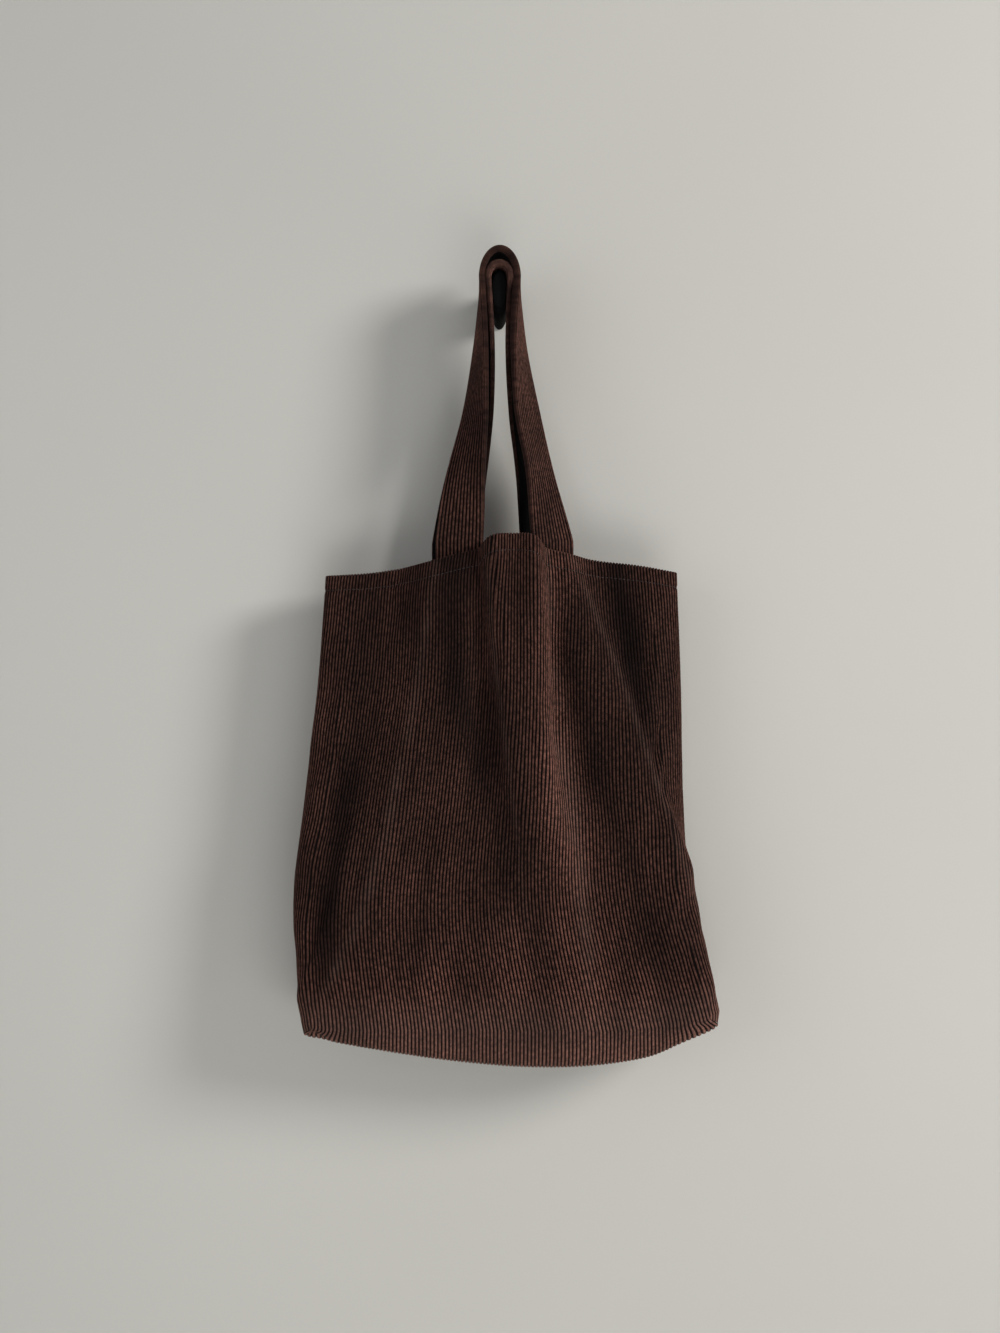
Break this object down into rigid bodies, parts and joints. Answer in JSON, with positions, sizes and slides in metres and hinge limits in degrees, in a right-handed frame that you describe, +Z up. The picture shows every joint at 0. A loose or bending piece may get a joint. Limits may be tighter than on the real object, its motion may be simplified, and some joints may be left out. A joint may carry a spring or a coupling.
{
  "type": "corduroy tote bag",
  "caption": "Soft tote bag of dark brown wide-wale corduroy with a boxed base, hanging by its long flat handles, which fold down over either side.",
  "frame": {"origin": "the point where a hook holds the bag: the underside of the inner handle's loop, at its top", "axes": "+Z up, the bag's front faces -Y, +X to the right as seen from the front"},
  "size_m": [0.3404, 0.0861, 0.653],
  "materials": {
    "corduroy": "matt pile with raised ribs, brushed lighter along the folds",
    "lining": "plain matt cotton",
    "backing": "matt twill",
    "thread": "spun polyester thread",
    "tack_thread": "spun polyester thread"
  },
  "bodies": {
    "bag": {"front_panel": "corduroy", "back_panel": "corduroy", "front_lining": "lining", "back_lining": "lining", "front_hem_stitch": "thread", "back_hem_stitch": "thread", "front_handle_tail_left": "corduroy", "front_handle_tack_left": "tack_thread", "front_handle_tail_right": "corduroy", "front_handle_tack_right": "tack_thread", "rear_handle_tail_left": "corduroy", "rear_handle_tack_left": "tack_thread", "rear_handle_tail_right": "corduroy", "rear_handle_tack_right": "tack_thread"},
    "front_handle": {"front_handle_strap": "corduroy", "front_handle_backing": "backing"},
    "rear_handle": {"rear_handle_strap": "corduroy", "rear_handle_backing": "backing"}
  },
  "joints": [
    {"name": "front_handle_fold", "type": "hinge", "parent": "bag", "child": "front_handle", "pos_m": [0, -0.041, -0.217], "axis": [1, 0, 0], "range_deg": [0, 150]},
    {"name": "rear_handle_fold", "type": "hinge", "parent": "bag", "child": "rear_handle", "pos_m": [0, 0.031, -0.218], "axis": [-1, 0, 0], "range_deg": [0, 150]}
  ]
}
